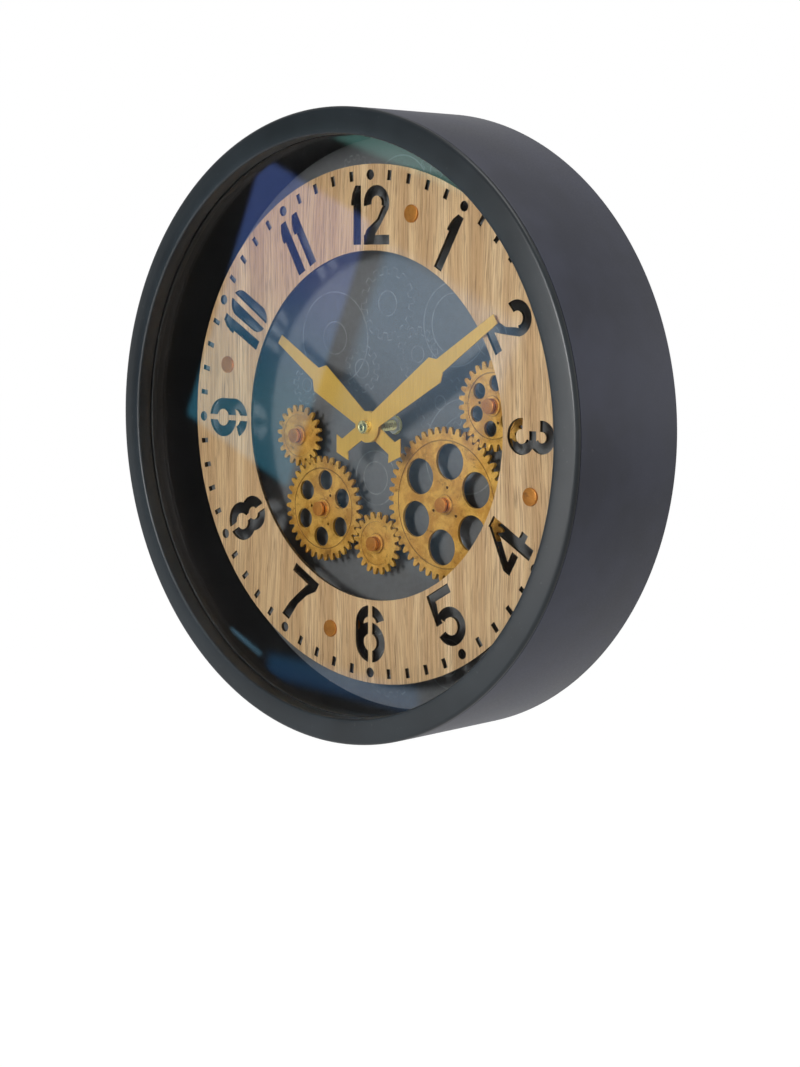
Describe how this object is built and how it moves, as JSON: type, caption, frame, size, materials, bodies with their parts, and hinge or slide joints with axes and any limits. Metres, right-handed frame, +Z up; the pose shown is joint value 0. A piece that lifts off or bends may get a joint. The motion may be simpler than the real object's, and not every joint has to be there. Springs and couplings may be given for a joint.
{
  "type": "wall clock",
  "caption": "Round wall clock in a deep glazed drum case, with a cut-out wooden chapter ring standing over a working train of brass display gears.",
  "frame": {"origin": "point on the axis of the hands in the plane of the wall behind the clock", "axes": "+Z up towards twelve, +X to the right seen from the front, -Y out of the wall along the axis of the hands, so +Y runs into the wall"},
  "size_m": [0.45, 0.109, 0.45],
  "materials": {
    "bezel_black": "satin black paint on turned metal",
    "black_plastic": "fine matt moulding",
    "board_green": "solder resist",
    "bright_brass": "polished",
    "case_black": "satin black powder coat",
    "cell_wrap": "shrink wrap, plain",
    "contact_metal": "nickel plated",
    "copper": "turned copper plated, satin",
    "copper_wire": "enamelled winding",
    "dial_print": "matt printed slate blue with pale line drawings",
    "gasket_black": "matt",
    "gear_brass": "antique brass with brown patina",
    "glass": "polished flat glass",
    "hand_brass": "brushed pale gold",
    "inner_black": "dull black",
    "iron": "stamped sheet iron",
    "lead_wrap": "insulation",
    "oak": "oiled oak veneer with open grain",
    "panel_board": "black stained fibre board",
    "screw_steel": "zinc plated",
    "steel": "ground",
    "white_plastic": "acetal"
  },
  "bodies": {
    "case": {"case_band": "case_black", "case_flange": "case_black", "front_bezel": "bezel_black", "glass_gasket": "gasket_black", "glass_pane": "glass", "glass_retainer": "black_plastic", "inner_sleeve": "inner_black", "dial_plate": "dial_print", "dial_spacers": "black_plastic", "back_panel": "panel_board", "panel_screws": "screw_steel", "hanger_plate": "screw_steel", "hanger_screws": "screw_steel", "chapter_ring": "oak", "chapter_pillars": "copper", "chapter_caps": "copper", "pillar_screws": "screw_steel", "gear_posts": "bright_brass", "gear_post_nuts": "screw_steel", "gear_post_caps": "copper", "drive_bush": "bright_brass", "motor_box": "black_plastic", "motor_cover": "black_plastic", "gear_motor": "steel", "motor_batteries": "cell_wrap", "motor_contacts": "contact_metal", "motor_leads": "lead_wrap", "switch_body": "black_plastic", "motor_box_screws": "screw_steel", "movement_case": "black_plastic", "movement_cover": "black_plastic", "threaded_bush": "bright_brass", "bush_washer": "bright_brass", "bush_nut": "steel", "stator": "iron", "coil": "copper_wire", "circuit_board": "board_green", "movement_battery": "cell_wrap", "movement_contacts": "contact_metal"},
    "minute": {"minute_arbor": "bright_brass", "minute_hand": "hand_brass", "hand_nut": "bright_brass"},
    "hour": {"hour_wheel": "white_plastic", "hour_hand": "hand_brass"},
    "motion": {"motion_wheel": "white_plastic", "setting_knob": "black_plastic"},
    "third": {"third_wheel": "white_plastic"},
    "rotor": {"rotor": "iron"},
    "main_train": {"main_gear": "gear_brass", "main_gear_cap": "copper", "drive_shaft": "steel", "output_wheel": "white_plastic"},
    "right_train": {"right_gear": "gear_brass"},
    "bottom_train": {"bottom_gear": "gear_brass"},
    "lower_left_train": {"lower_left_gear": "gear_brass"},
    "upper_left_train": {"upper_left_gear": "gear_brass"},
    "reduction": {"reduction_wheel": "white_plastic"},
    "pinion": {"motor_pinion": "bright_brass"},
    "slider": {"switch_slider": "white_plastic"}
  },
  "joints": [
    {"name": "minute_turn", "type": "hinge", "parent": "case", "child": "minute", "pos_m": [0, 0, 0], "axis": [0, 1, 0], "continuous": true},
    {"name": "hour_turn", "type": "hinge", "parent": "case", "child": "hour", "pos_m": [0, 0, 0], "axis": [0, 1, 0], "continuous": true},
    {"name": "motion_turn", "type": "hinge", "parent": "case", "child": "motion", "pos_m": [0.01039, 0, 0.006], "axis": [0, 1, 0], "continuous": true},
    {"name": "third_turn", "type": "hinge", "parent": "case", "child": "third", "pos_m": [-0.00883, 0, 0.0051], "axis": [0, 1, 0], "continuous": true},
    {"name": "rotor_turn", "type": "hinge", "parent": "case", "child": "rotor", "pos_m": [0.003, 0, 0.021], "axis": [0, 1, 0], "continuous": true},
    {"name": "main_turn", "type": "hinge", "parent": "case", "child": "main_train", "pos_m": [0.06213, 0, -0.05306], "axis": [0, 1, 0], "continuous": true},
    {"name": "right_turn", "type": "hinge", "parent": "case", "child": "right_train", "pos_m": [0.10605, 0, 0.01862], "axis": [0, 1, 0], "continuous": true},
    {"name": "bottom_turn", "type": "hinge", "parent": "case", "child": "bottom_train", "pos_m": [-0.00569, 0, -0.08613], "axis": [0, 1, 0], "continuous": true},
    {"name": "lower_left_turn", "type": "hinge", "parent": "case", "child": "lower_left_train", "pos_m": [-0.06084, 0, -0.06441], "axis": [0, 1, 0], "continuous": true},
    {"name": "upper_left_turn", "type": "hinge", "parent": "case", "child": "upper_left_train", "pos_m": [-0.08683, 0, -0.01113], "axis": [0, 1, 0], "continuous": true},
    {"name": "reduction_turn", "type": "hinge", "parent": "case", "child": "reduction", "pos_m": [0.04773, 0, -0.05306], "axis": [0, 1, 0], "continuous": true},
    {"name": "motor_turn", "type": "hinge", "parent": "case", "child": "pinion", "pos_m": [0.05698, 0, -0.06409], "axis": [0, 1, 0], "continuous": true},
    {"name": "switch_slide", "type": "slide", "parent": "case", "child": "slider", "axis": [1, 0, 0], "range_m": [0, 0.003]}
  ],
  "couplings": [
    {"joint": "hour_turn", "follows": "minute_turn", "ratio": 0.083333},
    {"joint": "motion_turn", "follows": "minute_turn", "ratio": -0.33333},
    {"joint": "third_turn", "follows": "minute_turn", "ratio": -7.5},
    {"joint": "right_turn", "follows": "main_turn", "ratio": -1.7857},
    {"joint": "bottom_turn", "follows": "main_turn", "ratio": -2.5},
    {"joint": "lower_left_turn", "follows": "main_turn", "ratio": 1.4286},
    {"joint": "upper_left_turn", "follows": "main_turn", "ratio": -2.5},
    {"joint": "reduction_turn", "follows": "main_turn", "ratio": -3},
    {"joint": "motor_turn", "follows": "main_turn", "ratio": 9}
  ]
}
